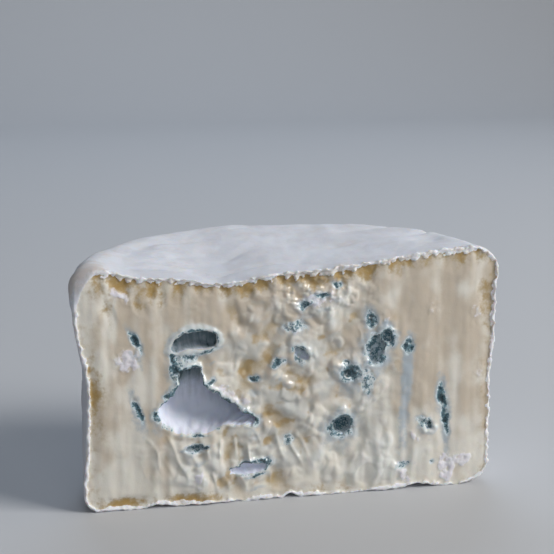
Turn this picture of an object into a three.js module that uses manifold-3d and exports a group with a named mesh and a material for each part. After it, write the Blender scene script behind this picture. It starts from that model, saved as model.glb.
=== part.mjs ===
// A wedge of soft blue-veined cheese with a white bloomy rind: one half of a small tall wheel, cut straight down
// through the middle. The cut face looks along -Y. Behind it the rind wraps over the top, round the side and under the
// base. The soft top has sunk where it was handled, and the cut runs through several air pockets where mould grew.
//
// The whole wedge is one piece, so it is one mesh. It stands on its base: +Z is up, and the origin is the middle of
// the bounding box's foot. Lengths are millimetres.
import * as THREE from "three";
import { mergeVertices } from "three/addons/utils/BufferGeometryUtils.js";
import Module from "manifold-3d";

// Driving dimensions.
const WHEEL_RADIUS = 66; // half of the cut face's width
const WEDGE_DEPTH = 62; // from the cut face to the back of the rim
const WHEEL_HEIGHT = 80.5;
const TOP_SHOULDER = 9; // radius where the top turns down into the side
const BASE_SHOULDER = 5; // radius where the side turns under
const PLAN_SQUARENESS = 2.3; // exponent of the rim's superellipse, where 2 is a true ellipse
const SAG_REACH = 38; // how far back from the cut the sunken top fades away
const SAG_FALLOFF = 3; // power by which the sag grows from the base, where it is nothing, to the top

// The left edge of the cut is pressed in at half height: how deep, over the last part of the face, fading backwards.
const PINCH = { depth: 2.2, from: -50, to: -64, back: 12 };

// How finely the surface is divided: across the cut, up it, and back from it.
const CELLS = { across: 36, up: 22, back: 18 };
const POCKET_SEGMENTS = 20;

// The hollows that make up the sunken top: how deep, where across the cut, and how wide.
const TOP_DIPS = [
  { depth: 6.6, at: 2, width: 40 },
  { depth: 5.2, at: -25, width: 15 },
  { depth: 4.6, at: -48, width: 13 },
];

// The larger air pockets that the cut opens, as ellipsoids whose middles lie on the cut face. at is [x, z], size is
// [half width, depth, half height], and turn is the lean in degrees, anticlockwise seen from the front.
const POCKETS = [
  { name: "slot", at: [-31, 53], size: [7.4, 9, 3.4], turn: 2 },
  { name: "cave neck", at: [-32.5, 40.5], size: [4.4, 10, 6], turn: 0 },
  { name: "cave belly", at: [-35, 29.5], size: [8, 12, 6.4], turn: 4 },
  { name: "cave middle", at: [-27.5, 30], size: [7, 12, 7], turn: -20 },
  { name: "cave tip", at: [-20, 28.3], size: [9, 8, 3.2], turn: -24 },
  { name: "lower slot", at: [-14, 10.8], size: [6.2, 5, 2.4], turn: 6 },
  { name: "round pocket", at: [16, 22.8], size: [3.3, 7, 3.3], turn: 0 },
  { name: "upper pocket", at: [27.5, 47.5], size: [2.4, 5, 4.8], turn: -8 },
];

const bell = (t) => Math.exp(-t * t);
const smooth = (t) => THREE.MathUtils.smoothstep(t, 0, 1);

// Distance from the wheel's axis to the rim in the direction of angle, on a superellipse.
function rimReach(angle) {
  const across = Math.abs(Math.cos(angle) / WHEEL_RADIUS) ** PLAN_SQUARENESS;
  const back = Math.abs(Math.sin(angle) / WEDGE_DEPTH) ** PLAN_SQUARENESS;
  return (across + back) ** (-1 / PLAN_SQUARENESS);
}

// How far the top has sunk at a place on it: a row of dips along the cut, fading towards the back.
function topSag(x, y) {
  const along = TOP_DIPS.reduce((sum, dip) => sum + dip.depth * bell((x - dip.at) / dip.width), 0);
  return along * bell(y / SAG_REACH);
}

// The wedge as a bent box. a runs across from -1 to 1, b from 0 at the cut to 1 at the back, c from 0 to 1 up.
// 1. The half square of a and b bends into a half disc, whose share is 0 on the axis and 1 on the rim.
// 2. That disc is stretched to the rim's reach in each direction.
// 3. Near the rim, the square corner of each upright section is drawn in to a quarter circle.
// 4. The top sinks, and the left edge of the cut is pressed in a little.
function wedgePoint(a, b, c) {
  const discX = a * Math.sqrt(1 - (b * b) / 2);
  const discY = b * Math.sqrt(1 - (a * a) / 2);
  const share = Math.hypot(discX, discY);
  const angle = Math.atan2(discY, discX);
  const reach = rimReach(angle);

  const shoulder = c > 0.5 ? TOP_SHOULDER : BASE_SHOULDER;
  const height = c * WHEEL_HEIGHT;
  const outBy = Math.max(0, share * reach - (reach - shoulder));
  const upBy = c > 0.5 ? Math.max(0, height - (WHEEL_HEIGHT - shoulder)) : Math.min(0, height - shoulder);
  const corner = Math.hypot(outBy, upBy);
  const drawn = corner > 0 ? 1 - Math.max(outBy, Math.abs(upBy)) / corner : 0;

  const radius = share * reach - outBy * drawn;
  const x = radius * Math.cos(angle);
  const y = radius * Math.sin(angle);
  const z = height - upBy * drawn;
  const edge = smooth((x - PINCH.from) / (PINCH.to - PINCH.from)) * bell(y / PINCH.back);
  const pressed = PINCH.depth * edge * Math.sin((Math.PI * z) / WHEEL_HEIGHT) ** 2;
  return [x + pressed, y, z - topSag(x, y) * c ** SAG_FALLOFF];
}

// One side of the bent box: a grid of columns by rows, where place turns two shares of 0 to 1 into a, b and c.
// The corners of each cell run anticlockwise seen from outside.
function boxSide(columns, rows, place) {
  const positions = [];
  const index = [];
  for (let row = 0; row <= rows; row += 1) {
    for (let column = 0; column <= columns; column += 1) {
      positions.push(...wedgePoint(...place(column / columns, row / rows)));
    }
  }
  for (let row = 0; row < rows; row += 1) {
    for (let column = 0; column < columns; column += 1) {
      const corner = row * (columns + 1) + column;
      const above = corner + columns + 1;
      index.push(corner, corner + 1, above + 1, corner, above + 1, above);
    }
  }
  return { positions, index };
}

// The six sides joined into one closed surface.
function wedgeSurface() {
  const { across, up, back } = CELLS;
  const sides = [
    boxSide(across, up, (s, t) => [2 * s - 1, 0, t]), // the cut face
    boxSide(across, up, (s, t) => [1 - 2 * s, 1, t]), // the back of the rim
    boxSide(back, up, (s, t) => [1, s, t]), // the right of the rim
    boxSide(back, up, (s, t) => [-1, 1 - s, t]), // the left of the rim
    boxSide(across, back, (s, t) => [2 * s - 1, t, 1]), // the top
    boxSide(across, back, (s, t) => [2 * s - 1, 1 - t, 0]), // the base
  ];
  const positions = [];
  const index = [];
  for (const side of sides) {
    const first = positions.length / 3;
    positions.push(...side.positions);
    index.push(...side.index.map((i) => i + first));
  }
  const geometry = new THREE.BufferGeometry();
  geometry.setAttribute("position", new THREE.Float32BufferAttribute(positions, 3));
  geometry.setIndex(index);
  return geometry;
}

// An air pocket's ellipsoid, its middle on the cut face.
function pocketSurface({ at, size, turn }) {
  const geometry = new THREE.SphereGeometry(1, POCKET_SEGMENTS, POCKET_SEGMENTS / 2);
  geometry.scale(...size);
  geometry.rotateY(THREE.MathUtils.degToRad(-turn));
  geometry.translate(at[0], 0, at[1]);
  return geometry;
}

const wasm = await Module();
wasm.setup();

// A closed surface as a solid that can be cut.
function solidOf(geometry) {
  geometry.deleteAttribute("normal");
  geometry.deleteAttribute("uv");
  const merged = mergeVertices(geometry, 1e-3);
  return new wasm.Manifold(
    new wasm.Mesh({
      numProp: 3,
      vertProperties: merged.attributes.position.array,
      triVerts: new Uint32Array(merged.index.array),
    }),
  );
}

// A solid's surface as a three.js geometry.
function geometryOf(solid) {
  const { vertProperties, triVerts } = solid.getMesh();
  const geometry = new THREE.BufferGeometry();
  geometry.setAttribute("position", new THREE.BufferAttribute(vertProperties, 3));
  geometry.setIndex(new THREE.BufferAttribute(triVerts, 1));
  return geometry;
}

let wedge = solidOf(wedgeSurface());
for (const pocket of POCKETS) {
  wedge = wedge.subtract(solidOf(pocketSurface(pocket)));
}
const wedgeGeometry = geometryOf(wedge);
wedgeGeometry.computeBoundingBox();
const middle = wedgeGeometry.boundingBox.getCenter(new THREE.Vector3());
wedgeGeometry.translate(-middle.x, -middle.y, -wedgeGeometry.boundingBox.min.z);
wedgeGeometry.computeVertexNormals();

const cheese = new THREE.MeshStandardMaterial({ color: 0xe6dcc4, roughness: 0.55, metalness: 0 });
const cheeseWedge = new THREE.Mesh(wedgeGeometry, cheese);
cheeseWedge.name = "cheese_wedge";

const part = new THREE.Group();
part.add(cheeseWedge);

export default part;
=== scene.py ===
# %% [markdown]
# # A wedge of blue-veined cheese
# One half of a small, tall wheel, cut straight down through the middle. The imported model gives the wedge's
# place and size. This lesson gives it the surface of the real thing: a moist cut face with pockets, veins
# and folds, and a dry white rind round the rest. Everything is worked out in millimetres and turned into
# metres at the end.

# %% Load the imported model
import itertools
import math

import bpy
import numpy as np
from mathutils import Matrix, Vector


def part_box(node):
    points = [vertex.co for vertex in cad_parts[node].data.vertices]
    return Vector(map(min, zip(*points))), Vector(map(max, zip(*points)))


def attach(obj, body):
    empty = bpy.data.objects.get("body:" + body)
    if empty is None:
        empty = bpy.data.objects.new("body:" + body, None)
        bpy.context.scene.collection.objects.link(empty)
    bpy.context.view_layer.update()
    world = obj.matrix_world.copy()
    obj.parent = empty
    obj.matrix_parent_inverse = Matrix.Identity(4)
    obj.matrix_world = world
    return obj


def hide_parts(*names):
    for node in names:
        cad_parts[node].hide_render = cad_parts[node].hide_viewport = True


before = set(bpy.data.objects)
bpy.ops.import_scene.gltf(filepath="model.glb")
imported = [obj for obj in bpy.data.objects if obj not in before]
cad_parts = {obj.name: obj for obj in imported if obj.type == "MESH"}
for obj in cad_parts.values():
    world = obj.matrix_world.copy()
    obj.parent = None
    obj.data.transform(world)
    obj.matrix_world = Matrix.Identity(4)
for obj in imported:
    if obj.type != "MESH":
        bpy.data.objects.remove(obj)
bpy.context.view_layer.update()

MM = 0.001
low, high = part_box("cheese_wedge")
HALF_WIDTH = (high.x - low.x) / MM / 2
DEPTH = (high.y - low.y) / MM
HEIGHT = (high.z - low.z) / MM
print(f"wedge {2 * HALF_WIDTH:.1f} wide, {DEPTH:.1f} deep, {HEIGHT:.1f} tall, in millimetres")

# %% [markdown]
# ## Places on the wedge
# Points are kept as rows of x, y, z in the wedge's own measure: x is 0 in the middle, y is 0 on the cut and
# grows towards the back, and z is 0 on the base. Each step below takes all the points at once, as whole
# numpy arrays.

# %% Small helpers for whole arrays
def bell(t):
    """A smooth hump that is 1 at t = 0 and nearly 0 beyond 2: e to the power of minus t squared."""
    return np.exp(-np.square(t))


def ease(t):
    """0 below t = 0, 1 above t = 1, and a smooth step between: t squared times (3 - 2 t)."""
    t = np.clip(t, 0, 1)
    return t * t * (3 - 2 * t)


def turned(x, z, centre, degrees):
    """x and z seen from a centre, along axes that are turned anticlockwise by some degrees."""
    c, s = math.cos(math.radians(degrees)), math.sin(math.radians(degrees))
    return (x - centre[0]) * c + (z - centre[1]) * s, (z - centre[1]) * c - (x - centre[0]) * s


print(f"a quarter of the way, a bell is {bell(0.25):.2f} and a smooth step {ease(0.25):.2f}")

# %% [markdown]
# ## Noise
# Nothing on a cheese is regular. Perlin noise gives smooth, even randomness: every corner of a grid gets a
# random slope, and a point blends the slopes of the eight corners round it. Its wavelength sets the size of
# the bumps, and a wavelength for each axis stretches them, as the knife did. The seed makes it the same on
# every run.

# %% Perlin noise on whole arrays
SLOPES = 4096  # how many random slopes there are to share out
SCATTER = (73856093, 19349663, 83492791)  # large primes, so that neighbouring cells get unlike slopes
LOUDNESS = 1.6  # brings the blend to about -1 to 1


def noise(points, wavelength, seed):
    """Smooth randomness, about -1 to 1, at each row of points.

    The eight corners of a point's cell have a random slope each. The slope times the step from that corner is
    blended by 6 t^5 - 15 t^4 + 10 t^3 along each axis.
    """
    random = np.random.default_rng(seed)
    slopes = random.normal(size=(SLOPES, 3))
    slopes /= np.linalg.norm(slopes, axis=1, keepdims=True)
    place = points / wavelength + random.uniform(0, 99, 3)
    cell = np.floor(place).astype(np.int64)
    step = place - cell
    share = step**3 * (step * (step * 6 - 15) + 10)
    total = np.zeros(len(points))
    for corner in itertools.product((0, 1), repeat=3):
        key = ((cell + corner) * SCATTER).sum(axis=1) % SLOPES
        weight = np.where(corner, share, 1 - share).prod(axis=1)
        total += weight * ((step - corner) * slopes[key]).sum(axis=1)
    return total * LOUDNESS


def layers(points, wavelength, seed, count=3):
    """Noise on noise: each layer is half as wide and half as strong as the one before."""
    return sum(noise(points, np.array(wavelength) / 2**i, seed + i) / 2**i for i in range(count))


def stirred(p, by, wavelength, seed):
    """The points pushed about in the plane of the cut by noise, so that what is drawn on them swirls."""
    push = np.stack([noise(p, wavelength, seed), np.zeros(len(p)), noise(p, wavelength, seed + 1)], axis=1)
    return p + by * push


sample_line = np.linspace((0, 0, 0), (99, 0, 0), 400)
print(f"noise along a line lies within {np.abs(noise(sample_line, 5.0, 1)).max():.2f} of 0")

# %% [markdown]
# ## Crumbs
# Where the curd tore instead of cutting, it shows as rounded crumbs side by side. Noise makes soft hills
# with no seams, so crumbs need cells instead: each square of a grid holds one crumb at a random place.

# %% Crumbs packed side by side
CRUMBS_EACH_WAY = 64  # after this many, the random places start again


def crumbs(points, size, seed):
    """Rounded crumbs on the cut: 1 on each crown and 0 in the seams between them.

    A point's height is 1 minus 1.6 times the squared distance to the nearest crumb's middle.
    """
    count = CRUMBS_EACH_WAY
    places = np.random.default_rng(seed).uniform(0.1, 0.9, (count, count, 2))
    at = points[:, [0, 2]] / size
    cell = np.floor(at).astype(np.int64)
    nearest = np.full(len(points), np.inf)
    for step in itertools.product((-1, 0, 1), repeat=2):
        there = cell + step
        middle = there + places[there[:, 0] % count, there[:, 1] % count]
        nearest = np.minimum(nearest, np.square(at - middle).sum(axis=1))
    return np.clip(1 - 1.6 * nearest, 0, 1)


print(f"along the same line, crumbs are {crumbs(sample_line, 5.0, 1).mean():.2f} high on average")

# %% [markdown]
# ## The half wheel
# A box is bent into the half wheel, so that its six sides become six tidy grids: the cut face, the top, the
# base and three pieces of rim. The half square seen from above is bent into a half disc and stretched to
# the rim. The upright sections then get their round shoulders. It could be lathed and cut in two, but a
# grid that follows the cut's own outline keeps every row of points in line with the rind.

# %% Bend a box into half a wheel
TOP_SINK = 0.8  # how far the highest part of the top has sunk
WHEEL_HEIGHT = HEIGHT + TOP_SINK
TOP_SHOULDER, BASE_SHOULDER = 9.0, 5.0
PLAN_SQUARENESS = 2.3  # exponent of the rim's superellipse, where 2 is a true ellipse


def half_wheel(across, back, up):
    """Points of the wheel from three shares: across is -1 to 1, back is 0 at the cut to 1, and up is 0 to 1.

    In plan, a square turns into a disc by x = a sqrt(1 - b^2 / 2), y = b sqrt(1 - a^2 / 2), and the disc's
    radius is scaled to a superellipse. In section, each shoulder's corner is drawn in to a quarter circle.
    """
    disc_x = across * np.sqrt(1 - back**2 / 2)
    disc_y = back * np.sqrt(1 - across**2 / 2)
    share, angle = np.hypot(disc_x, disc_y), np.arctan2(disc_y, disc_x)
    wide = np.abs(np.cos(angle) / HALF_WIDTH) ** PLAN_SQUARENESS
    deep = np.abs(np.sin(angle) / DEPTH) ** PLAN_SQUARENESS
    reach = (wide + deep) ** (-1 / PLAN_SQUARENESS)

    upper = up > 0.5
    shoulder = np.where(upper, TOP_SHOULDER, BASE_SHOULDER)
    z = up * WHEEL_HEIGHT
    out_by = np.maximum(0, share * reach - (reach - shoulder))
    up_by = np.where(upper, np.maximum(0, z - (WHEEL_HEIGHT - shoulder)), np.minimum(0, z - shoulder))
    corner = np.maximum(np.hypot(out_by, up_by), 1e-9)
    drawn = np.where(corner > 1e-6, 1 - np.maximum(out_by, np.abs(up_by)) / corner, 0)
    radius = share * reach - out_by * drawn
    return np.stack([radius * np.cos(angle), radius * np.sin(angle), z - up_by * drawn], axis=-1)


print(f"the box's far top right corner goes to {half_wheel(*np.ones((3, 1))).round(1)[0]}")

# %% [markdown]
# ## Six grids, one skin
# The cut face carries nearly all the detail, so its grid is three times as fine as the rind's. The rind's
# grids start a little way behind the cut. A narrow strip of triangles joins the two: each long step of the
# rind's first ring meets three short steps of the face's edge.

# %% Lay out the grids
COARSE_ACROSS, COARSE_UP, COARSE_BACK = 113, 69, 44
FINER = 3  # how many steps of the cut face meet one step of the rind
FIRST_RING = 0.012  # share of the depth where the rind's grids start
CROWDING = 1.15  # power that crowds the rings a little towards the cut


def side_grid(columns, rows, place):
    """Points of one side, rows by columns. place turns shares s and t into the wheel's three."""
    t, s = np.meshgrid(rows, columns, indexing="ij")
    return half_wheel(*np.broadcast_arrays(*place(s, t)))


def quads(first, shape):
    """The cells of a grid of points numbered from first on, with corners anticlockwise from outside."""
    numbers = first + np.arange(shape[0] * shape[1]).reshape(shape)
    corners = [numbers[:-1, :-1], numbers[:-1, 1:], numbers[1:, 1:], numbers[1:, :-1]]
    return np.stack(corners, axis=-1).reshape(-1, 4)


def ring(first, shape):
    """A grid's outer numbers, counted from first on, anticlockwise from its lower left corner."""
    numbers = first + np.arange(shape[0] * shape[1]).reshape(shape)
    return np.concatenate([numbers[0, :-1], numbers[:-1, -1], numbers[-1, :0:-1], numbers[:0:-1, 0]])


half_turns = np.linspace(-1, 1, COARSE_ACROSS + 1)
heights = np.linspace(0, 1, COARSE_UP + 1)
backward = FIRST_RING + (1 - FIRST_RING) * np.linspace(0, 1, COARSE_BACK + 1) ** CROWDING
face = side_grid(
    np.linspace(-1, 1, COARSE_ACROSS * FINER + 1),
    np.linspace(0, 1, COARSE_UP * FINER + 1),
    lambda s, t: (s, 0 * s, t),
)
sides = [
    side_grid(-half_turns, heights, lambda s, t: (s, 1 + 0 * s, t)),  # the back of the rim
    side_grid(backward, heights, lambda s, t: (1 + 0 * s, s, t)),  # the right of the rim
    side_grid(backward[::-1], heights, lambda s, t: (-1 + 0 * s, s, t)),  # the left of the rim
    side_grid(half_turns, backward, lambda s, t: (s, t, 1 + 0 * s)),  # the top
    side_grid(half_turns, backward[::-1], lambda s, t: (s, t, 0 * s)),  # the base
]
first_ring = side_grid(half_turns, heights, lambda s, t: (s, FIRST_RING + 0 * s, t))
print(f"face grid {face.shape[1]} by {face.shape[0]}, rind grids {[side.shape[:2] for side in sides]}")

# %% Join the grids into one closed skin
ring_points = first_ring.reshape(-1, 3)[ring(0, first_ring.shape[:2])]
points = np.concatenate([face.reshape(-1, 3), *(side.reshape(-1, 3) for side in sides), ring_points])
starts = np.cumsum([face[..., 0].size] + [side[..., 0].size for side in sides])
cells = np.concatenate([quads(start, side.shape[:2]) for start, side in zip(starts, sides)])
face_cells = quads(0, face.shape[:2])
fine = ring(0, face.shape[:2])
coarse = starts[-1] + np.arange(len(ring_points))
after = np.roll(coarse, -1)
fans = [np.roll(fine, -k)[::FINER] for k in range(FINER + 1)]
strip = np.concatenate(
    [
        np.stack([fans[1], fans[0], coarse], axis=1),
        np.stack([fans[2], fans[1], coarse], axis=1),
        np.stack([fans[2], coarse, after], axis=1),
        np.stack([fans[3], fans[2], after], axis=1),
    ]
)


def welded(points, *faces):
    """The points with doubles merged, the faces renumbered to them, and which old point each new one was."""
    _, kept, renumbered = np.unique(np.round(points, 4), axis=0, return_index=True, return_inverse=True)
    return points[kept], [renumbered.ravel()[f] for f in faces], kept


points, (face_cells, cells, strip), kept = welded(points, face_cells, cells, strip)
on_face = kept < face[..., 0].size
print(f"{len(points)} points, {2 * (len(face_cells) + len(cells)) + len(strip)} triangles")

# %% [markdown]
# ## How the wheel has settled
# A soft cheese doesn't stay square. The top has sunk along the cut, deepest left of the middle. The left
# edge of the cut is pressed in below and bulges above, and the foot of the cut lifts off the board in a few
# places. These are smooth moves of all the points, so that face and rind stay joined.

# %% Settle the wheel
TOP_DIPS = [(6.6, 2, 40), (5.2, -25, 15), (4.6, -48, 13)]  # depth, place across the cut, width
FOOT_LIFTS = [(0.9, -43, 4), (1.5, -0.7, 2.0), (1.3, 42, 5), (3.6, 68, 6)]  # rise, place, width
SAG_REACH, LIFT_REACH = 38, 7  # how far back the sunken top and the lifted foot fade away
# Bulges of the two sides: how far to the right; from how far out, on which side (-1 is left), and over what
# width; at what height, and how tall; how far back, and how deep.
BULGES = [
    (-2.2, (30, -1, 30), (71, 11), (8, 40)),
    (-2.2, (50, -1, 14), (57, 14), (0, 9)),
    (0.7, (50, 1, 14), (72, 5), (0, 9)),
]


def settled(p):
    """The points after the top has sunk, the foot has lifted and the sides have been pressed in or bulge.

    Sag and lift are sums of bells along x, times a bell going back and a power of the height. The sides move
    by a smooth step along x that fades upwards and back by bells. A long noise swells the rim.
    """
    x, y, z = p.T
    up = z / WHEEL_HEIGHT
    sag = sum(depth * bell((x - at) / width) for depth, at, width in TOP_DIPS) * bell(y / SAG_REACH)
    lift = sum(rise * bell((x - at) / width) for rise, at, width in FOOT_LIFTS) * bell(y / LIFT_REACH)
    push = 2.2 * ease((-x - 50) / 14) * bell(y / 12) * np.sin(np.pi * np.clip(up, 0, 1)) ** 2
    push += 1.3 * ease((x - 40) / 24) * ease((z - 34) / 26) * bell(y / 30)
    for amount, (start, side, over), (height, tall), (back, deep) in BULGES:
        push += amount * ease((side * x - start) / over) * bell((z - height) / tall) * bell((y - back) / deep)
    swell = 0.5 * noise(p * (1, 0.4, 1), 17.0, 11) * ease(np.hypot(x / HALF_WIDTH, y / DEPTH) * 4 - 3)
    z = z - sag * up**4 + lift * (1 - up) ** 6
    return np.stack([x + push + swell * np.clip(x / 20, -1, 1), y, z], axis=1)


flat = points.copy()
points = settled(points)
print(f"top of the cut {points[on_face][:, 2].max():.1f}, widest {np.abs(points[:, 0]).max():.1f}")

# %% [markdown]
# ## Near the edge of the cut
# The rind shows as a pale line all round the cut, and the paste next to it is ripe. So each point of the
# cut needs to know how far inside the outline it lies. The edge itself isn't sharp: the knife left it
# slightly rounded, and handling has worn the top left corner away.

# %% Distance from the outline, and how round the edge is
EDGE_RADIUS = 0.7
CORNER_RADIUS = 4.0  # how much more at the top left corner


def to_edge(p):
    """How far each point of the cut lies inside its outline, and which way out is: a rounded rectangle.

    Past a corner's middle both ways, out is straight from that middle. Elsewhere it is to the nearest side.
    """
    middle = WHEEL_HEIGHT / 2
    round_by = np.where(p[:, 2] > middle, TOP_SHOULDER, BASE_SHOULDER)
    across = np.abs(p[:, 0]) - (HALF_WIDTH - round_by)
    up = np.abs(p[:, 2] - middle) - (middle - round_by)
    outside = np.hypot(np.maximum(across, 0), np.maximum(up, 0))
    inside = round_by - outside - np.minimum(np.maximum(across, up), 0)
    out_x = np.where(outside > 0, np.maximum(across, 0), across > up) * np.sign(p[:, 0])
    out_z = np.where(outside > 0, np.maximum(up, 0), across <= up) * np.sign(p[:, 2] - middle)
    length = np.maximum(np.hypot(out_x, out_z), 1e-9)
    return inside, out_x / length, out_z / length


def curl(p):
    """Radius of the rounded edge between cut and rind: the same all round, plus a bell at the worn corner."""
    return EDGE_RADIUS + CORNER_RADIUS * bell(np.hypot((p[:, 0] + 66) / 8, (p[:, 2] - 76) / 10))


edge, out_x, out_z = to_edge(flat[on_face])
print(f"deepest inside the outline {edge.max():.1f}, roundest edge {curl(points).max():.1f}")

# %% [markdown]
# ## Air pockets
# Curd was packed loosely, so air stayed in and mould grew on the walls. The cut opens the pockets. Each one
# has an outline on the cut, drawn with a few points round a middle. Points inside the outline slide down a
# rounded wall: the further in from the rim, the deeper. They move sideways too, so that the walls get enough
# points and can run under the lip. A boolean cut would give ragged slivers, and these moves don't.

# %% The pockets' outlines
def oval(centre, half_width, half_height, turn, corners=16):
    """Points of an ellipse round a centre, turned anticlockwise by some degrees."""
    angle = np.linspace(0, 2 * np.pi, corners, endpoint=False)
    c, s = math.cos(math.radians(turn)), math.sin(math.radians(turn))
    x, z = half_width * np.cos(angle), half_height * np.sin(angle)
    return [(centre[0] + a * c - b * s, centre[1] + a * s + b * c) for a, b in zip(x, z)]


CAVE = [
    (-43.2, 30.4), (-41.2, 33.8), (-38.2, 35.6), (-36.4, 38.6), (-36.2, 43.6), (-34.6, 44.6), (-29.4, 44.8),
    (-28.6, 39.2), (-25.4, 36.4), (-20.4, 33.0), (-15.4, 29.6), (-11.8, 27.2), (-12.2, 25.6), (-16.4, 25.6),
    (-21.6, 26.0), (-25.6, 23.8), (-31.4, 23.2), (-36.4, 24.2), (-40.2, 26.4),
]
SLOT = [
    (-38.4, 51.2), (-37.4, 53.6), (-35.0, 55.4), (-31.0, 56.4), (-27.0, 56.2), (-24.4, 55.0), (-23.8, 53.0),
    (-25.0, 51.2), (-28.6, 50.6), (-32.6, 50.6), (-36.0, 50.0), (-37.8, 50.0),
]
# lean is how far the floor lies across and up; under, how far the walls run under the lip; ragged, how uneven
# the rim is; and rim, how blue it is, its upper part also a painted shadow under the lip. dark and lip go
# from the pocket's foot to its top: how dark the lining is, partly its own mould and partly painted shade on
# the upper wall, and how much of a pale raised lip there is.
POCKETS = [
    dict(middle=(-30.5, 31.5), outline=CAVE, depth=12, lean=(4.0, 4.5), under=0.14,
         ragged=0.7, rim=0.85, dark=(0.0, 1.15), lip=(0.3, 1.0)),
    dict(middle=(-31.0, 53.2), outline=SLOT, depth=6, lean=(0, 0.9), under=0.10,
         ragged=0.3, rim=0.6, dark=(0.6, 1.05), lip=(0.9, 1.0)),
    dict(middle=(-14.0, 10.8), oval=(6.2, 1.8, 8), depth=3.2, lean=(0, 0.6), under=0.1,
         ragged=0.8, rim=1.0, dark=(0.0, 0.4), lip=(0.3, 0.7)),
    dict(middle=(-30.6, 18.7), oval=(3.9, 0.8, 4), depth=2.0, lean=(0, 0.3), under=0.1,
         ragged=0.6, rim=0.9, dark=(0.6, 1.0), lip=(0.5, 0.3)),
    dict(middle=(16.2, 23.0), oval=(3.3, 2.9, 20), depth=7, lean=(1.0, 0.5), under=0.15,
         ragged=0.6, rim=0.9, dark=(0.35, 0.8), lip=(0.4, 0.5)),
    dict(middle=(27.0, 47.3), oval=(2.3, 4.6, -8), depth=3.5, lean=(0.4, 0.4), under=0.1,
         ragged=1.3, rim=1.0, dark=(0.55, 0.9), lip=(0.3, 0.3)),
    dict(middle=(30.6, 51.4), oval=(1.4, 2.3, 30), depth=2.2, lean=(0.3, 0.2), under=0.1,
         ragged=1.0, rim=1.0, dark=(0.5, 0.9), lip=(0.4, 0.6)),
    dict(middle=(2.6, 47.4), oval=(2.8, 1.3, -42), depth=1.3, lean=(0.2, 0.2), under=0.0,
         ragged=0.5, rim=0.5, dark=(0.3, 0.65), lip=(0.2, 0.8)),
    dict(middle=(44.9, 21.4), oval=(1.5, 1.1, -20), depth=0.8, lean=(0.2, 0.2), under=0.0,
         ragged=0.7, rim=0.5, dark=(0.7, 0.8), lip=(0.9, 0.3)),
]
for pocket in POCKETS:
    if "oval" in pocket:
        pocket["outline"] = oval(pocket["middle"], *pocket["oval"])
print(f"{len(POCKETS)} pockets")

# %% How points sink into a pocket
WALK_STEPS, ROUNDED_STEPS = 400, 6  # steps round an outline, and how many each way a corner is averaged over
BOWL = 2.2  # fullness of a pocket's section, where 2 is half an ellipse


def reach_of(pocket, angle):
    """The outline's distance from the pocket's middle in each direction, with its corners rounded.

    The outline is walked at even steps, smoothed by a moving average, and read by angle.
    """
    corners = np.array(pocket["outline"]) - pocket["middle"]
    corners = np.vstack([corners, corners[:1]])
    along = np.concatenate([[0], np.cumsum(np.hypot(*np.diff(corners, axis=0).T))])
    walk = np.linspace(0, along[-1], WALK_STEPS, endpoint=False)
    line = np.stack([np.interp(walk, along, corners[:, k]) for k in (0, 1)], axis=1)
    nearby = range(-ROUNDED_STEPS, ROUNDED_STEPS + 1)
    line = np.mean([np.roll(line, k, axis=0) for k in nearby], axis=0)
    bearing, reach = np.arctan2(line[:, 1], line[:, 0]), np.hypot(*line.T)
    order = np.argsort(bearing)
    return np.interp(angle, bearing[order], reach[order], period=2 * np.pi)


def sunk(p, pocket, seed):
    """Sideways moves and depth for the points inside one pocket, and each point's distance outside its rim.

    With s the share of the way from rim to middle, the wall follows a full bowl: the sideways share is
    cos(90 s)^(2/n), and the depth's share is sin(90 s)^(2/n), with n the bowl's fullness.
    """
    ragged = pocket["ragged"]
    x = p[:, 0] + ragged * layers(p, 2.6, seed, 2)
    z = p[:, 2] + ragged * layers(p, 2.6, seed + 7, 2)
    dx, dz = x - pocket["middle"][0], z - pocket["middle"][1]
    distance, angle = np.hypot(dx, dz), np.arctan2(dz, dx)
    reach = reach_of(pocket, angle)
    inward = np.clip(1 - distance / reach, 0, 1)
    turn = inward * np.pi / 2
    wide, drop = np.cos(turn) ** (2 / BOWL), np.sin(turn) ** (2 / BOWL)
    under = 1 + pocket["under"] * np.sin(np.pi * inward) ** 2
    moved = np.where(inward > 0, reach * wide * under - distance, 0)
    lean_x, lean_z = pocket["lean"]
    return (
        moved * np.cos(angle) + lean_x * drop,
        moved * np.sin(angle) + lean_z * drop,
        pocket["depth"] * drop,
        distance - reach,
    )


print(f"the cave reaches {reach_of(POCKETS[0], 0.0):.1f} to the right of its middle")

# %% [markdown]
# ## Mould
# Blue mould grows where air reached the curd: in the pockets, and along the tracks of the needles that
# pierced the wheel. On the cut it shows as clusters of dark specks in a blue-green stain. White mould shows
# as crumbly lilac patches. Each patch is an oval with a soft edge. The finish breaks it up later with fine
# noise.

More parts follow.
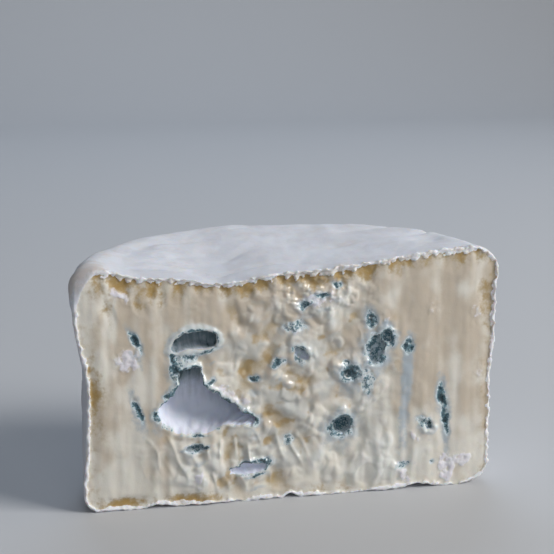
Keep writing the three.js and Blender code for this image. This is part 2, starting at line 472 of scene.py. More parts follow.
# %% Patches of mould on the cut
# middle across and up, half width, half height, turn in degrees, strength
BLUE_PATCHES = [
    (-49.2, 54.0, 1.3, 4.6, 24, 0.85), (-48.8, 32.2, 1.3, 5.4, 20, 0.85),  # veins on the left
    (-36.7, 45.4, 2.6, 6.4, 4, 0.6), (-37.8, 46.6, 1.0, 4.4, 6, 0.9), (-33.0, 48.2, 3.6, 1.6, 0, 0.5),
    (-26.6, 49.9, 4.4, 0.5, 14, 0.7),  # slot to cave
    (-42.8, 30.2, 1.7, 2.4, 30, 0.9), (-38.6, 36.6, 1.8, 2.6, -40, 0.8), (-26.2, 40.2, 1.8, 1.0, 10, 0.9),
    (-12.4, 27.0, 2.6, 1.6, -30, 1.0), (-30.5, 23.2, 3.6, 0.8, 0, 0.6),
    (-21.2, 33.8, 6.4, 0.8, -34, 0.85), (-14.6, 29.4, 2.8, 0.9, -36, 0.95),  # round the cave
    (-30.4, 18.9, 4.2, 0.9, 3, 0.95), (-8.6, 12.4, 2.6, 1.6, 15, 0.85), (-11.6, 8.6, 3.6, 0.7, 10, 0.8),
    (-12.2, 40.0, 1.5, 1.2, 0, 0.95), (-4.4, 45.0, 3.0, 1.6, 10, 0.7), (2.4, 46.8, 2.6, 3.4, 20, 0.45),
    (1.0, 56.2, 4.4, 2.2, 10, 0.6), (-1.2, 19.4, 2.2, 1.6, 40, 0.6),  # middle
    (3.6, 63.2, 2.8, 1.7, 15, 0.85), (9.6, 66.0, 2.4, 1.0, 0, 0.95), (14.2, 69.0, 1.8, 1.1, 0, 0.85),
    (25.3, 57.4, 1.9, 3.6, 12, 0.95), (27.0, 47.4, 4.0, 6.2, 0, 1.0), (31.0, 51.4, 3.0, 3.8, 25, 1.0),
    (18.6, 40.2, 4.4, 3.4, 12, 1.0), (17.4, 43.6, 1.4, 1.2, 0, 0.7), (24.6, 37.0, 2.6, 5.0, 10, 0.45),
    (15.8, 22.6, 5.0, 4.6, 0, 0.85),  # right of the middle
    (37.9, 48.2, 2.0, 3.4, 0, 0.95), (49.6, 30.6, 1.7, 5.6, 6, 1.0), (51.0, 22.4, 1.5, 6.4, 6, 0.9),
    (43.6, 22.6, 3.2, 2.2, -20, 0.5), (36.0, 8.4, 3.4, 1.0, 10, 0.55), (46.6, 9.0, 1.4, 1.0, 0, 0.5),
]
WHITE_PATCHES = [
    (-51.6, 48.2, 5.6, 4.4, -20, 1.0), (-30.0, 8.2, 2.6, 4.0, 10, 0.9), (51.6, 6.2, 3.2, 6.4, 8, 1.5),
    (57.2, 9.0, 4.6, 2.8, 0, 1.1), (36.8, 5.6, 2.4, 5.4, 25, 1.1), (40.4, 17.4, 1.2, 3.4, 35, 1.0),
    (46.4, 60.0, 3.0, 4.4, 0, 0.5), (62.0, 38.0, 2.4, 5.0, 0, 0.5), (60.5, 58.0, 2.4, 8.0, 0, 0.45),
    (-19.6, 35.4, 10.5, 2.2, -33, 0.8), (30.0, 55.6, 5.0, 4.4, 0, 0.5),
    (1.0, 56.2, 5.4, 3.0, 10, 0.8), (8.0, 64.8, 9.0, 4.2, 15, 0.75), (-54.0, 69.0, 7.0, 2.4, -35, 0.8),
    (19.0, 39.8, 5.6, 4.4, 10, 0.5), (-24.0, 20.0, 5.0, 2.2, 0, 0.3),
]


def patchwork(p, patches, spread=1.0):
    """The strongest patch at each point: strength times (1 - the squared share of the way to its edge).

    Noise first pushes the points about a little, so that no patch stays a neat oval.
    """
    best = np.zeros(len(p))
    x, _, z = stirred(p, 0.9, 3.0, 40).T
    for across, up, half_width, half_height, turn, strength in patches:
        u, v = turned(x, z, (across, up), turn)
        share = (u / half_width) ** 2 + (v / half_height) ** 2
        best = np.maximum(best, strength * (1 - share / spread**2))
    return best


print(f"{len(BLUE_PATCHES)} blue patches, {len(WHITE_PATCHES)} white ones")

# %% Tracks of the needles
NEEDLE_TRACKS = [(37.9, 50, 36.1, 9, 3.4), (50.8, 24, 51.8, 7, 2.0)]  # top and foot, then half width


def needle_track(x, z):
    """The pale upright bands where needles passed just behind the cut: 1 on the middle line, 0 at the sides.

    Each band starts and ends by a smooth step, and gets fainter towards its foot.
    """
    best = np.zeros_like(x)
    for top_x, top_z, foot_x, foot_z, half_width in NEEDLE_TRACKS:
        along = np.clip((top_z - z) / (top_z - foot_z), 0, 1)
        across = np.abs(x - top_x - (foot_x - top_x) * along - 0.2 * np.sin(z / 5))
        ends = ease((top_z - z) / 3) * ease((z - foot_z) / 6)
        best = np.maximum(best, ease(1.2 * (1 - across / half_width)) * ends * (1 - 0.6 * along))
    return best


print(f"{len(NEEDLE_TRACKS)} tracks of needles")

# %% [markdown]
# ## The cut face in relief
# The knife dragged the soft paste down, so the face has long upright streaks. In the middle the paste is
# moist and has closed again in smooth lumps. Low down on the left it has rucked into curved folds, and near
# the top it crumbled. A sculpted map could hold all this, but sums of noise inside soft zones can be read
# and changed.

# %% Zones and folds
def zone(x, z, centre, half_width, half_height):
    """1 in the middle of an oval zone, fading to 0 well outside it: a bell of the squared distance."""
    return bell(np.hypot((x - centre[0]) / half_width, (z - centre[1]) / half_height) ** 2)


def folds(p, spacing, lean, seed):
    """Rucks in the paste: thin crests with smooth hollows between them, -1 in the hollows to 1 on the crests.

    A ruler laid across the folds is bent by noise. The crests stand where a sine along it is 0, sharpened by
    taking 1 - 2 |sin|^0.6. More noise breaks them off here and there.
    """
    across = p[:, 0] + lean * p[:, 2] + 2.4 * noise(p, 11.0, seed)
    broken = ease(0.55 + 1.6 * noise(p, 7.0, seed + 1))
    return broken * (1 - 2 * np.abs(np.sin(np.pi * across / spacing)) ** 0.6)


def moisture(x, z):
    """Where the paste is moist and lumpy, 0 to 1: the middle of the cut and most of its foot."""
    foot = np.maximum(zone(x, z, (-16, 15), 28, 13), 0.5 * zone(x, z, (26, 13), 22, 12))
    return np.maximum(zone(x, z, (1, 38), 33, 36), foot)


print(f"moisture {moisture(1, 38):.2f} in the middle of the cut, {moisture(60, 70):.2f} at the top right")

# %% Work out the relief of the cut
def paste_relief(p):
    """How far each point of the cut lies behind the flat cut, and the part of that made by small lumps.

    Both are sums of noise. Upright streaks come from noise that is stretched along z, and each other kind of
    relief has its own zone.
    """
    x, z = p[:, 0], p[:, 2]
    moist = moisture(x, z)
    q = stirred(p, 1.6, 9.0, 18)

    left = ease((-x - 18) / 16)  # where the knife's streaks are finest
    drag = 0.50 * (1 - 0.5 * moist) * noise(p, (10.0, 9.0, 90.0), 21)
    drag += left * 0.25 * noise(p, (4.0, 5.0, 60.0), 22) + 0.10 * noise(p, (1.9, 3.0, 11.0), 23)

    lumps = 0.95 * noise(q, (9.0, 9.0, 8.0), 24) + 0.62 * noise(q, (4.6, 9.0, 4.8), 25)
    lumps += 0.16 * noise(q, (2.4, 5.0, 2.4), 26)
    beads = crumbs(q, 3.6, 32) * ease(3 * noise(p, 6.0, 34) - 0.2)

    rucks = zone(x, z, (-16, 14), 20, 9) * folds(p, 4.6, 0.28, 27)
    rucks += 0.6 * zone(x, z, (-40, 16), 7, 10) * folds(p, 6.0, 0.45, 28)

    rough = np.clip(zone(x, z, (9, 66), 16, 7) + 0.6 * zone(x, z, (19, 41), 7, 6), 0, 1)
    rough *= (0.6 * crumbs(q, 2.6, 29) + 0.5 * crumbs(q, 1.5, 30)) * ease(0.7 + 1.5 * noise(p, 4.0, 36))

    smears = zone(x, z, (30, 13), 18, 14) * (0.7 * noise(p, (3.2, 5.0, 16.0), 35) + 0.15 * beads)
    small = -(0.12 + 1.15 * moist) * (lumps + 0.5 * beads) - 0.75 * rucks - rough - smears
    broad = 0.8 * noise(p, (30.0, 30.0, 42.0), 31)
    return broad + drag + small, small + drag


sample_points = np.array([(1.0, 0.0, 38.0), (60.0, 0.0, 70.0)])
print(f"relief at the same two places {paste_relief(sample_points)[0].round(2)}")

# %% [markdown]
# ## Ripe paste, its tone and painted shade
# This cheese ripens from the rind inwards. The paste just under the rind turns golden, runs down in tongues
# near the top, and shrinks back a little. Further in, the tone drifts from a pale, greyish cream to a warm
# butter colour, in upright bands that follow the knife. The same tone also carries painted shade: a painted
# shadow near the top, left of the middle, and a darkening towards the right.

# %% Where the paste is ripe, and where it is warm or painted darker
def ripe_band(p, edge):
    """Where ripe, golden paste shows, 0 to 1: in tongues along the top, and in lines at foot and sides.

    A band fades inwards from the rind over its width, times the sum of the places where it shows.
    """
    x, z = p[:, 0], p[:, 2]
    top = ease((z - 55) / 12) * ease((64 - np.abs(x)) / 5)
    strong = 0.8 + 0.6 * bell((x + 52) / 12) + 0.8 * bell((x + 14) / 10) + 1.2 * bell((x - 15) / 12)
    tongues = 0.5 + 0.8 * layers(p, (5.0, 5.0, 12.0), 33, 2)
    wide = 5.0 + 9.0 * np.clip(tongues, 0, 1) * (0.4 + bell((x + 48) / 24)) + 2.5 * bell((x - 12) / 10)
    foot = bell((x + 54) / 6) + bell((x + 33) / 9) + 0.4 * bell((x - 10) / 12)
    foot *= 1.2 * ease((5.5 - z) / 2.5)
    rim = 0.25 * ease((np.abs(x) - 50) / 12) + 0.7 * bell((x - 63) / 3) * bell((z - 63) / 7)
    rim += 0.7 * bell((x + 62) / 2.5) * bell((z - 39) / 9)
    band = ease((edge - 0.5) / 0.8) * np.clip(1 - (edge - 1) / wide, 0, 1)
    return np.clip(band * (top * strong * np.clip(tongues + 0.4, 0, 1.3) + foot + rim), 0, 1)


def warmth_and_shade(p):
    """The paste's colour with painted shade: 0 where it is pale and greyish, 1 where it is a warm butter
    colour.

    Two round noises and one upright one, plus zones that are warmer or paler, one of them a painted shadow
    near the top, left of the middle. The drift from left to right is painted shade that darkens the right.
    """
    x, z = p[:, 0], p[:, 2]
    tone_and_shade = 0.45 + 0.75 * noise(p, (8.0, 9.0, 13.0), 46) + 0.45 * noise(p, (4.2, 9.0, 6.0), 47)
    tone_and_shade += (0.4 + 0.6 * ease((-x - 20) / 14)) * noise(p, (4.5, 9.0, 45.0), 48)
    tone_and_shade += 0.35 * zone(x, z, (44, 56), 26, 22) - 0.7 * zone(x, z, (34, 14), 24, 14)
    # A painted shadow near the top, left of the middle; paler towards the foot.
    tone_and_shade += 0.8 * zone(x, z, (-15, 63), 24, 12) - 0.5 * ease((30 - z) / 20)
    # The drift along x is painted shade that darkens the right.
    return tone_and_shade + 0.2 * zone(x, z, (-50, 60), 18, 16) + 0.27 * np.clip(x / 50, -1, 1)


print(f"warmth at the same two places {warmth_and_shade(sample_points).round(2)}")

# %% [markdown]
# ## Carve the face
# The moves are now made on the face's points, one kind after another: relief and mould, pockets, the rind's
# cut edge, and the rounding over. depth is how far a point goes back, and shift_x and shift_z are its moves
# in the plane of the cut. The numbers that the finish needs later, such as how blue a point is, are kept
# beside them.

# %% Carve the relief and the mould's pits
p = points[on_face]
x, z = p[:, 0], p[:, 2]
depth, small = paste_relief(p)
ripe, tone_and_shade = ripe_band(p, edge), warmth_and_shade(p)
depth = (depth + 0.9 * ripe) * ease(edge / curl(p))  # the relief fades out where the paste joins the rind

blue = patchwork(p, BLUE_PATCHES)
smear = 0.55 * patchwork(p + (0, 0, 4.5), BLUE_PATCHES, 1.5)  # the knife dragged the mould down
stain = np.maximum.reduce([patchwork(p, BLUE_PATCHES, 1.8), smear, needle_track(x, z)])
white = patchwork(p, WHITE_PATCHES)
pits = np.clip(blue, 0, 1) * ease(layers(p, 1.5, 41) * 1.6 + 0.45)
torn = 0.6 * crumbs(stirred(p, 1.4, 2.0, 42), 1.7, 44) + 0.2 + 0.9 * layers(p, 1.8, 45, 2)
depth += 0.9 * pits - 0.35 * np.clip(white, 0, 1) * torn
print(f"relief {-depth.min():.1f} proud to {depth.max():.1f} deep, {np.mean(blue > 0):.0%} of it blue")

# %% Sink the pockets
shift_x, shift_z, pocket_depth, lining, lining_dark_and_shade, halo = (np.zeros(len(p)) for _ in range(6))
for number, pocket in enumerate(POCKETS):
    move_x, move_z, drop, outside = sunk(p, pocket, 50 + 3 * number)
    floor = 0.8 * layers(p, 5.0, 80 + number, 2) * drop / pocket["depth"]
    across, up = x - pocket["middle"][0], z - pocket["middle"][1]
    higher = ease(0.36 + (0.15 * across + up) / (1.3 * pocket["depth"]))  # 0 at the foot, 1 at the top

    lip = np.interp(higher, (0, 1), pocket["lip"])
    halo = np.maximum(halo, lip * bell((outside - 1.1) / 1.5))  # paste that is pale with young mould
    lip *= bell((outside - 0.9) / 1.1) * (0.45 + pocket["ragged"] * 0.7 * crumbs(p, 1.8, 90 + number))
    # Blue mould round the rim, stronger towards the top, where it is also a painted shadow under the lip.
    rim_mould_and_shadow = pocket["rim"] * (0.6 + 0.6 * higher) * bell((outside - 0.5 * higher) / 0.5)
    blue = np.maximum(blue, rim_mould_and_shadow * ease(0.5 + 0.4 * higher + 1.4 * layers(p, 3.0, 110 + number)))

    shift_x, shift_z = shift_x + move_x, shift_z + move_z
    pocket_depth = pocket_depth + drop - floor - lip
    within = ease(0.5 - outside / 0.8)
    lining = np.maximum(lining, within)
    # Painted shadow under the lip: a dark, jagged band just inside the upper rim.
    shadow_under_lip = 0.7 * higher * bell((outside + 0.45) / 0.5) * ease(0.8 + 1.2 * noise(p, 1.8, 130 + number))
    # The lining darkens from the foot to the top: partly its own mould, partly painted shade on the upper
    # wall.
    lining_dark_and_shade = np.maximum(lining_dark_and_shade, within * (np.interp(higher, (0, 1), pocket["dark"]) + shadow_under_lip))
depth = depth * (1 - 0.7 * lining) + pocket_depth
print(f"deepest pocket {pocket_depth.max():.1f}, {lining.mean():.0%} of the cut is pocket")

# %% [markdown]
# ## The rind's cut edge
# Seen on the cut, the rind is a pale line one or two millimetres wide. The knife pulled it into curds along
# the top, where it is widest, and it stands a little proud of the ripe paste. Its width is a sum of noise
# and crumbs, and a point belongs to the rind where that width is more than its distance from the outline.

# %% Raise the rind's cut edge
corner = bell(np.hypot((x + 66) / 5, (z - 75) / 10))
upper = ease((z - 58) / 10) * ease((63 - np.abs(x)) / 6)
curdy = upper * (0.45 + 0.55 * bell((x - 5) / 20))
lobes = crumbs(stirred(p, 1.4, 5.0, 60), 4.8, 63) * upper * bell((x - 7) / 17) * bell(edge / 5)
curds = 0.45 * crumbs(stirred(p, 1.0, 2.6, 66), 1.3, 68) + 0.45 * crumbs(stirred(p, 1.2, 3.4, 67), 2.4, 69)
curds += 0.42 + 0.7 * layers(p, 2.0, 64, 2)
curds += 0.5 * (lobes - 0.5) * curdy
depth -= 1.1 * lobes

rind_width = 0.8 + 0.3 * upper + 0.4 * curdy + (0.5 + 1.3 * upper + 0.6 * curdy) * (curds - 0.6)
rind_width += 0.75 * layers(p, 3.0, 61) + 3.4 * corner
rind_width += ease((6 - z) / 6) * (0.4 + 1.4 * noise(p, 9.0, 62))
rind = ease((rind_width - edge) / (0.5 + 0.5 * upper + 2.5 * corner) + 0.5)
proud = rind * (0.15 * (1 - upper) + (0.32 + 0.15 * curdy) * curds) * (1 - corner)
proud *= 1 - 0.6 * ease((x - 56) / 8)
proud *= 0.3 + 0.7 * ease(edge / 0.9)
depth -= proud
print(f"rind up to {rind_width.max():.1f} wide and {proud.max():.1f} proud")

# %% Round the edge over and place the face's points
ragged = (0.6 + 0.4 * ease((x - 50) / 10)) * layers(p, 2.4, 65, 2) * (1 - corner)
ragged = (ragged + 0.7 * upper * (curds - 0.5)) * ease(1 - edge / 1.8)
depth += 0.8 * upper * np.clip(1 - curds, 0, 1) * ease(1 - edge / 1.2)

turn = np.pi / 4 * np.clip(1 - edge / curl(p), 0, 1)  # the face's half of the rounded edge
depth += curl(p) * (1 - np.cos(turn))
inward = curl(p) * (1 - np.sin(turn)) - np.clip(edge, 0, curl(p))
inward *= turn > 0
shift_x, shift_z = shift_x + (ragged - inward) * out_x, shift_z + (ragged - inward) * out_z
points[on_face] = np.stack([x + shift_x, p[:, 1] + depth, z + shift_z], axis=1)
print(f"face from {-depth.min():.1f} in front of the flat cut to {depth.max():.1f} behind it")

# %% [markdown]
# ## The rind
# The rind is a mat of white mould, dry and downy. It has the soft dents of the hands and boards that turned
# the wheel, and a fine crinkle. Its points move along their own normals, found from the faces round them. A
# Displace modifier could do that, but here the dents can also fade out where the rind meets the cut and
# board.

# %% Work the rind
def normals(points, quads):
    """Each point's direction outwards: the sum of the crossed diagonals of the quads that meet there."""
    crossed = np.cross(points[quads[:, 2]] - points[quads[:, 0]], points[quads[:, 3]] - points[quads[:, 1]])
    total = np.zeros_like(points)
    for corner in range(4):
        np.add.at(total, quads[:, corner], crossed)
    return total / np.maximum(np.linalg.norm(total, axis=1, keepdims=True), 1e-9)


outward = normals(points, cells)
behind = ~on_face
q = points[behind]
dents = 0.55 * noise(q, 19.0, 71) + 0.28 * noise(q, 8.0, 72) + 0.16 * noise(q, 3.6, 73)
creases = ease(1 - 6 * np.abs(noise(q, (34.0, 11.0, 30.0), 74))) * ease(0.3 + 2 * noise(q, 24.0, 75))
dents -= 0.8 * creases * ease((q[:, 2] - 55) / 10)
standing = ease(q[:, 2] / 3) * ease(q[:, 1] / 2)  # 0 on the board and at the cut, where there are no dents
turn = np.pi / 2 - np.pi / 4 * np.clip(1 - q[:, 1] / curl(q), 0, 1)  # the rind's half of the rounded edge
print(f"rind dents {dents.min():.2f} to {dents.max():.2f}")

# %% Wear the rind where it was handled, and place its points
shoulders = np.maximum(bell((q[:, 2] - 3) / 4), 0.8 * bell((q[:, 2] - WHEEL_HEIGHT + 6) / 5))
worn = (curl(points) - EDGE_RADIUS) / CORNER_RADIUS * bell(points[:, 1] / 9)
worn[behind] += shoulders * ease((np.hypot(q[:, 0] / HALF_WIDTH, q[:, 1] / DEPTH) - 0.8) / 0.1)
points[behind] = q + outward[behind] * (dents * standing - curl(q) * (1 - np.sin(turn)))[:, None]
points[behind, 1] += np.where(q[:, 1] < curl(q), curl(q) * (1 - np.cos(turn)) - q[:, 1], 0)
print(f"{np.mean(worn > 0.5):.0%} of the points are worn")

# %% [markdown]
# ## Into Blender
# The arrays go into one mesh. The numbers for the finish are stored on its points under plain names, as
# attributes, so that the finish follows the shape exactly and needs no image.

# %% Make the mesh
def to_metres(points):
    """Rows in millimetres with the cut at y = 0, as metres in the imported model's frame."""
    placed = points * MM
    placed[:, 1] += low.y
    placed[:, 0] += (low.x + high.x) / 2
    return placed


def new_mesh(name, points, faces):
    """A smooth mesh of these rows of points and lists of corners."""
    made = bpy.data.meshes.new(name)
    made.from_pydata(points.tolist(), [], faces)
    made.polygons.foreach_set("use_smooth", np.ones(len(faces), bool))
    return made


def put(name, data):
    """A new object in the scene that holds a mesh, a camera or a light."""
    made = bpy.data.objects.new(name, data)
    bpy.context.scene.collection.objects.link(made)
    return made


faces = [*face_cells.tolist(), *cells.tolist(), *strip.tolist()]
mesh = new_mesh("cheese_wedge_surface", to_metres(points), faces)
wedge = put("cheese_wedge_whole", mesh)
print(f"mesh of {len(mesh.polygons)} faces")

# %% Keep the finish's numbers on the points
pale_foot = np.maximum(0.6 * zone(x, z, (26, 13), 22, 11), 0.4 * zone(x, z, (-22, 12), 22, 10))


def keep_on_points(name, values, elsewhere=0.0):
    """Stores one number for each point: values on the cut face, and elsewhere on the rest."""
    everywhere = np.broadcast_to(elsewhere, len(points)).astype(float)
    everywhere[on_face] = values
    mesh.attributes.new(name, "FLOAT", "POINT").data.foreach_set("value", everywhere)


keep_on_points("rind", rind, 1.0)
keep_on_points("worn", worn[on_face], worn)
for name, values in {
    # Also where the rind's edge is painted brighter, as painted light.
    "cut_rind": 1 - corner,  # where rind would be freshly cut
    "curdy": curdy,
    "ripe": np.maximum(ripe, 0.75 * lobes),
    "warmth_and_shade": tone_and_shade,
    # painted shade in the hollows and painted light on the crests, paler at the foot
    "hollow_and_shading": small - pale_foot,
    "moist": moisture(x, z) * (1 - lining),
    "blue": np.clip(blue, 0, 1),
    "stain": np.clip(stain, 0, 1),
    "white": np.clip(white, 0, 1) * (0.5 + 0.8 * torn),
    "halo": halo * (1 - lining),
    "lining": lining,
    "lining_dark_and_shade": lining_dark_and_shade,
}.items():
    keep_on_points(name, values)
print(f"{len(mesh.attributes)} attributes, mesh valid {not mesh.validate()}")

# %% [markdown]
# ## Finishes as sums
# A finish is a web of nodes. Written as Python sums it reads like the recipe it is: a small class wraps a
# node's output, and every sum on it adds a Math node. One method makes any other node.

# %% Node sums
class Value:
    """A node's output. A sum on it adds the Math node that works it out."""

    def __init__(self, finish, socket):
        self.finish, self.socket = finish, socket

    def maths(self, operation, first, second):
        return self.finish.node("ShaderNodeMath", {"operation": operation}, {0: first, 1: second})

    def __add__(self, other):
        return self.maths("ADD", self, other)

    def __sub__(self, other):
        return self.maths("SUBTRACT", self, other)

    def __rsub__(self, other):
        return self.maths("SUBTRACT", other, self)

    def __mul__(self, other):
        return self.maths("MULTIPLY", self, other)

    __radd__, __rmul__ = __add__, __mul__

    def at_least(self, other):
        return self.maths("MAXIMUM", self, other)


# %% A finish and its nodes
class Finish:
    """A material and the one way of adding nodes to it."""

    def __init__(self, name):
        self.material = bpy.data.materials.new(name)
        self.material.use_nodes = True
        self.tree = self.material.node_tree
        self.tree.nodes.clear()

    def node(self, kind, settings, inputs, output=0):
        """Adds a node, sets its settings, then its inputs by name or number, and returns one output."""
        made = self.tree.nodes.new(kind)
        for name, setting in settings.items():
            setattr(made, name, setting)
        by_name = {socket.identifier: socket for socket in made.inputs}
        for name, given in inputs.items():
            socket = made.inputs[name] if isinstance(name, int) else by_name.get(name) or made.inputs[name]
            if isinstance(given, Value):
                self.tree.links.new(given.socket, socket)
            else:
                socket.default_value = given
        return Value(self, made.outputs[output])

    def grain(self, wavelength, detail=2.0, roughness=0.5, stretch=(1, 1, 1), seed=0.0):
        """Noise from 0 to 1 whose bumps are some millimetres apart, stretched along the object's axes."""
        place = self.node("ShaderNodeTexCoord", {}, {}, "Object")
        scale = tuple(1 / (wavelength * MM * s) for s in stretch)
        mapping = {"Vector": place, "Scale": scale, "Location": (seed,) * 3}
        mapped = self.node("ShaderNodeMapping", {}, mapping)
        texture = {"Vector": mapped, "Scale": 1.0, "Detail": detail, "Roughness": roughness}
        return self.node("ShaderNodeTexNoise", {}, texture)

    def kept(self, name):
        """A number that was stored on the mesh's points."""
        return self.node("ShaderNodeAttribute", {"attribute_name": name}, {}, "Fac")

    def step(self, value, low, high):
        """0 where the value is below low, 1 above high, and a smooth step between."""
        ends = {"Value": value, "From Min": low, "From Max": high}
        return self.node("ShaderNodeMapRange", {"interpolation_type": "SMOOTHSTEP"}, ends)

    def mix(self, share, first, second):
        """A colour that is the first where the share is 0 and the second where it is 1."""
        paints = {"A_Color": first, "B_Color": second}
        paints = {k: v if isinstance(v, Value) else (*v, 1.0) for k, v in paints.items()}
        return self.node("ShaderNodeMix", {"data_type": "RGBA"}, {"Factor_Float": share, **paints}, 2)

    def shade(self, settings):
        """Ends the finish in a Principled shader with these inputs."""
        shader = self.node("ShaderNodeBsdfPrincipled", {}, settings)
        out = self.tree.nodes.new("ShaderNodeOutputMaterial")
        self.tree.links.new(shader.socket, out.inputs["Surface"])
        return self.material


# %% [markdown]
# ## The finish of the cheese
# One finish covers the whole wedge, because paste, mould and rind grow into each other. Its masks are the
# numbers kept on the points. Four noises, from half a millimetre to five, break up the masks' edges, and
# every part of the finish shares them.

# %% Colours and shared noises
CREAM, BUTTER, PALE = (0.70, 0.67, 0.60), (0.53, 0.46, 0.37), (0.70, 0.71, 0.68)
HONEY, AMBER, GREY = (0.42, 0.33, 0.20), (0.37, 0.235, 0.06), (0.47, 0.48, 0.46)
STAIN, TEAL, INK = (0.35, 0.42, 0.48), (0.09, 0.18, 0.22), (0.025, 0.055, 0.068)
LILAC, MIST, FROST = (0.73, 0.72, 0.79), (0.60, 0.65, 0.66), (0.58, 0.66, 0.69)
# VELVET and SLATE are the light and dark ends of the pocket linings, whose darkening is partly painted shade.
VELVET, SLATE = (0.74, 0.77, 0.88), (0.13, 0.20, 0.22)
# The third white, for the rind on the cut, is brighter as painted light.
SNOW, SHADE, LIT_RIND_WHITE, BLUSH = (0.67, 0.69, 0.75), (0.60, 0.61, 0.66), (0.78, 0.79, 0.82), (0.60, 0.54, 0.50)


class CheeseFinish(Finish):
    """The cheese's finish, with the four noises that its parts share."""

    def __init__(self):
        super().__init__("cheese")
        self.noises = {
            "fine": self.grain(0.55, 4.0, 0.6),
            "specks": self.grain(1.3, 3.0, 0.65, seed=5.0),
            "clumps": self.grain(3.0, 3.0, 0.6, seed=11.0),
            "broad": self.grain(5.0, 2.0, seed=7.0),
        }

    def broken(self, value, **amounts):
        """The value plus some of each noise that is named, so that its edges break up."""
        for name, amount in amounts.items():
            value = value + (self.noises[name] - 0.5) * amount
        return value


cheese = CheeseFinish()
moist = cheese.kept("moist")
print(f"shared noises {list(cheese.noises)}")

# %% [markdown]
# ## The paste
# The paste is cream with warmer bands, and painted shade darkens it in places. Where it is moist it is greyer
# in patches, the hollows between its lumps are honey and amber, partly golden paste and partly painted shade,
# and the crests are paler with painted light. Under the rind the ripe paste is grainy and golden.

# %% The paste's colour
def paste_colour(f):
    """Cream and butter with painted shade, then grey, honey, amber and pale by the relief, then the ripe
    band.
    """
    paste = f.mix(f.step(f.broken(f.kept("warmth_and_shade"), clumps=0.5), 0.0, 1.0), CREAM, BUTTER)
    dull = f.step(f.grain(7.0, 2.0, seed=15.0), 0.42, 0.62) * moist
    paste = f.mix(dull * 0.75, paste, GREY)

    # Honey and amber in the hollows are partly golden paste and partly painted shade; pale on the crests is
    # painted light.
    hollow_and_shading = f.broken(f.kept("hollow_and_shading"), fine=0.3)
    golden = f.step(f.broken(hollow_and_shading * 0.6, broad=3.4), 0.25, 0.80) * moist
    paste = f.mix(f.step(hollow_and_shading, 0.0, 1.0) * 0.9, paste, HONEY)
    paste = f.mix(golden * 0.7, paste, AMBER)
    paste = f.mix(f.step(hollow_and_shading, -0.4, -1.4) * 0.85, paste, PALE)

    ripe = f.kept("ripe")
    ripe = ripe + f.broken(0.0, clumps=1.8, specks=0.8) * f.step(ripe, 0.0, 0.3)
    paste = f.mix(f.step(ripe, 0.10, 0.80) * 0.85, paste, HONEY)
    return f.mix(f.step(ripe, 0.40, 1.15) * 0.9, paste, AMBER)


paste = paste_colour(cheese)
print(f"{len(cheese.tree.nodes)} nodes with the paste")

# %% [markdown]
# ## Mould and pocket walls
# The order is the order of growth: pale young mould round the pockets, crumbly white patches, the
# blue-green stain in the paste, the lining of the pockets, velvet low down and darker higher up with mould
# and painted shade, and last the clusters of mould itself, frosty at their edge, teal inside and nearly black
# in the middle.

# %% The mould's colours
def stained(f, paste, white):
    """The paste with its halos, white patches and stain."""
    paste = f.mix(f.step(f.broken(f.kept("halo"), specks=0.6), 0.2, 0.8) * 0.8, paste, MIST)
    paste = f.mix(white * 0.8, paste, LILAC)
    stain = f.step(f.broken(f.kept("stain"), specks=0.6, clumps=0.9), 0.15, 0.85)
    return f.mix(stain * 0.85, paste, STAIN)


def pocket_wall(f):
    """Velvet where the lining is light, slate and ink where mould and painted shade darken it, with fine
    upright ribs.
    """
    ribs = f.grain(0.9, 2.0, 0.5, (1, 9, 9), 4.0) - 0.5
    lining_dark_and_shade = f.kept("lining_dark_and_shade")
    wall = f.mix(f.step(f.broken(lining_dark_and_shade + ribs * 0.5, clumps=0.4), 0.10, 0.9), VELVET, SLATE)
    return f.mix(f.step(f.broken(lining_dark_and_shade + ribs * 2.2, clumps=1.0), 0.85, 1.30), wall, INK)


def moulded(f, paste, lining):
    """The paste with clusters of blue mould: speckled where blue is above 0, and fainter on the linings."""
    blue = f.kept("blue")
    speckle = f.broken(0.0, specks=2.0, clumps=1.4, fine=1.4)
    mould = blue * 1.2 - lining * 0.5 + f.step(blue, 0.0, 0.25) * speckle
    paste = f.mix(f.step(mould, -0.15, 0.20) * f.step(blue, 0.0, 0.2) * 0.8, paste, FROST)
    paste = f.mix(f.step(mould, 0.25, 0.70), paste, TEAL)
    return f.mix(f.step(mould, 0.75, 1.20), paste, INK)


white = cheese.step(cheese.broken(cheese.kept("white"), specks=0.9), 0.35, 0.80)
lining = cheese.kept("lining")
paste = stained(cheese, paste, white)
paste = cheese.mix(cheese.step(cheese.broken(lining, fine=0.5), 0.35, 0.65), paste, pocket_wall(cheese))
paste = moulded(cheese, paste, lining)
print(f"{len(cheese.tree.nodes)} nodes with the mould")

# %% [markdown]
# ## The rind's colour
# The rind is snow white with greyer drifts, and a faint blush where the down is thin or has been rubbed
# off. Its edge on the cut is painted a brighter white, as painted light, with some buttery paste still on the
# curds.

# %% The rind's colour and its edge against the paste
def rind_colour(f, cut_rind):
    """Snow and shade by a slow noise, blush by another and by wear, a white of painted light and butter on
    the cut.
    """
    down = f.mix(f.step(f.grain(14.0, 5.0, 0.65, seed=2.0), 0.35, 0.70), SNOW, SHADE)
    down = f.mix(f.step(f.grain(11.0, 4.0, 0.6, seed=9.0), 0.50, 0.72) * 0.35, down, BLUSH)
    down = f.mix(f.step(f.broken(f.kept("worn"), clumps=1.4), 0.45, 1.10) * 0.7, down, BLUSH)
    buttery = f.step(f.noises["clumps"] + f.kept("curdy") * 0.15, 0.52, 0.66)
    return f.mix(cut_rind, down, f.mix(buttery * 0.5, LIT_RIND_WHITE, BUTTER))


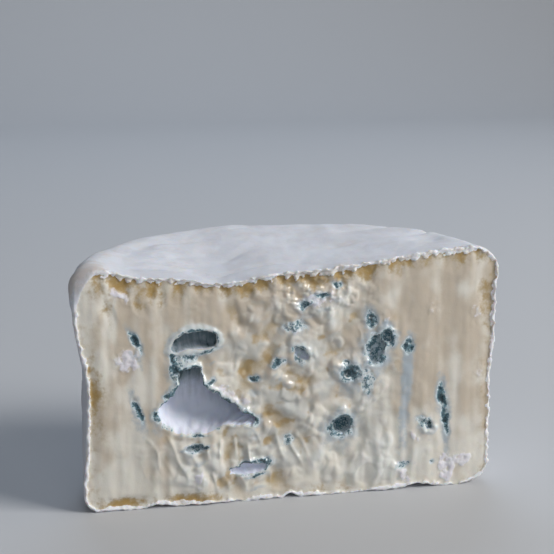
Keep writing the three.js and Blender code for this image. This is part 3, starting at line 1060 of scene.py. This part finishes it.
cut_rind = cheese.kept("cut_rind")
ragged_edge = (cheese.noises["specks"] - 0.5) * (2.0 - cut_rind * 1.4)  # rougher where the corner has worn
rind = cheese.step(cheese.broken(cheese.kept("rind") + ragged_edge, fine=0.8), 0.35, 0.65)
colour = cheese.mix(rind, paste, rind_colour(cheese, cut_rind))
print(f"{len(cheese.tree.nodes)} nodes with the rind")

# %% [markdown]
# ## Shine and grain
# Moist paste shines: it gets a clear coat and a smoother surface. Rind, white mould and pocket linings are
# dry and dull, and their bump is stronger. Light sinks a little way into all of it, as it does in real
# cheese.

# %% Shine and grain
dry = rind.at_least(lining).at_least(white * 0.7)
broad = cheese.noises["broad"]
relief = (cheese.noises["fine"] + cheese.noises["specks"]) * (dry * 0.35 + 0.15)
bump = cheese.node("ShaderNodeBump", {}, {"Strength": 0.45, "Distance": 0.4 * MM, "Height": relief})
mesh.materials.append(
    cheese.shade(
        {
            "Base Color": colour,
            "Roughness": 0.42 + broad * 0.16 + dry * 0.32 - moist * 0.12,
            "Coat Weight": (1 - dry) * (broad * 0.3 + moist),
            "Coat Roughness": 0.09,
            "Normal": bump,
            "Subsurface Weight": 0.3,
            "Subsurface Radius": (1.0, 0.6, 0.35),
            "Subsurface Scale": 1.3 * MM,
            "Sheen Weight": 0.08,
        }
    )
)
print(f"finish of {len(cheese.tree.nodes)} nodes")

# %% Tie the wedge to the model
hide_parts("cheese_wedge")
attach(wedge, "root")
print(f"{wedge.name} wears {wedge.data.materials[0].name}")

# %% [markdown]
# ## The studio
# A plain pale floor curves up into the backdrop, so that no horizon line shows. A large soft lamp on the
# right rakes across the face and brings out its relief, a weaker one fills the shadows from the front, and
# a cool one stands in for the sky behind.

# %% Floor
def sweep(width, front, back, rise, corners=24):
    """A floor that runs back, bends up in a quarter circle and ends in a wall: profile times width."""
    bend = np.linspace(0, np.pi / 2, corners)
    curve = zip(back + rise * np.sin(bend), rise * (1 - np.cos(bend)))
    profile = [(front, 0.0), *curve, (back + rise, 4 * rise)]
    return np.array([[(side * width / 2, y, z) for side in (-1, 1)] for y, z in profile])


floor_grid = sweep(width=6.0, front=-2.0, back=1.2, rise=0.6)
floor_cells = quads(0, floor_grid.shape[:2]).tolist()
floor = put("studio_floor", new_mesh("studio_floor", floor_grid.reshape(-1, 3), floor_cells))
pale = {"Base Color": (0.52, 0.53, 0.55, 1), "Roughness": 0.7}
floor.data.materials.append(Finish("pale_floor").shade(pale))
print(f"floor of {len(floor_cells)} faces")

# %% [markdown]
# ## The camera
# It stands left of the cut and a little above it, and looks at a point on the cut above the wedge's middle.
# A long lens keeps the upright edges nearly parallel. Its three axes are worked out from the two angles.

# %% Camera
LENS, SENSOR = 90, 36
azimuth, elevation, distance = math.radians(-12.44), math.radians(11.74), 0.4273
aim = Vector((-4.96 * MM, low.y, 72.25 * MM))
level = math.cos(elevation)
back = Vector((math.sin(azimuth) * level, -math.cos(azimuth) * level, math.sin(elevation)))
right = Vector((math.cos(azimuth), math.sin(azimuth), 0))
turn = Matrix((right, back.cross(right), back)).transposed()
camera = put("camera", bpy.data.cameras.new("camera"))
camera.data.lens, camera.data.sensor_width = LENS, SENSOR
camera.matrix_world = Matrix.Translation(aim + back * distance) @ turn.to_4x4()
bpy.context.scene.camera = camera
print(f"camera {distance:.2f} m from {tuple(round(c, 3) for c in aim)}")

# %% Lamps and air
MIDDLE = Vector((0, 0, 40 * MM))  # what the lamps face


def lamp(name, place, size, power, colour):
    """A square soft lamp that faces the wedge."""
    light = bpy.data.lights.new(name, "AREA")
    light.size, light.energy, light.color = size, power, colour
    towards = (MIDDLE - Vector(place)).to_track_quat("-Z", "Y")
    put(name, light).matrix_world = Matrix.Translation(place) @ towards.to_matrix().to_4x4()


lamp("key", (1.25, -0.75, 1.00), 0.80, 28.0, (1.0, 0.98, 0.95))
lamp("fill", (0.1, -2.0, 0.7), 1.0, 6.0, (0.93, 0.96, 1.0))
lamp("sky", (0.2, 1.15, 1.15), 0.9, 6.4, (0.70, 0.83, 1.0))
world = bpy.data.worlds.new("studio_air")
world.use_nodes = True
air = world.node_tree.nodes["Background"].inputs
air["Color"].default_value = (0.80, 0.84, 0.90, 1)
air["Strength"].default_value = 0.15
bpy.context.scene.world = world
bpy.context.scene.view_settings.view_transform = "Standard"
print(f"lamps {[light.name for light in bpy.data.lights]}")
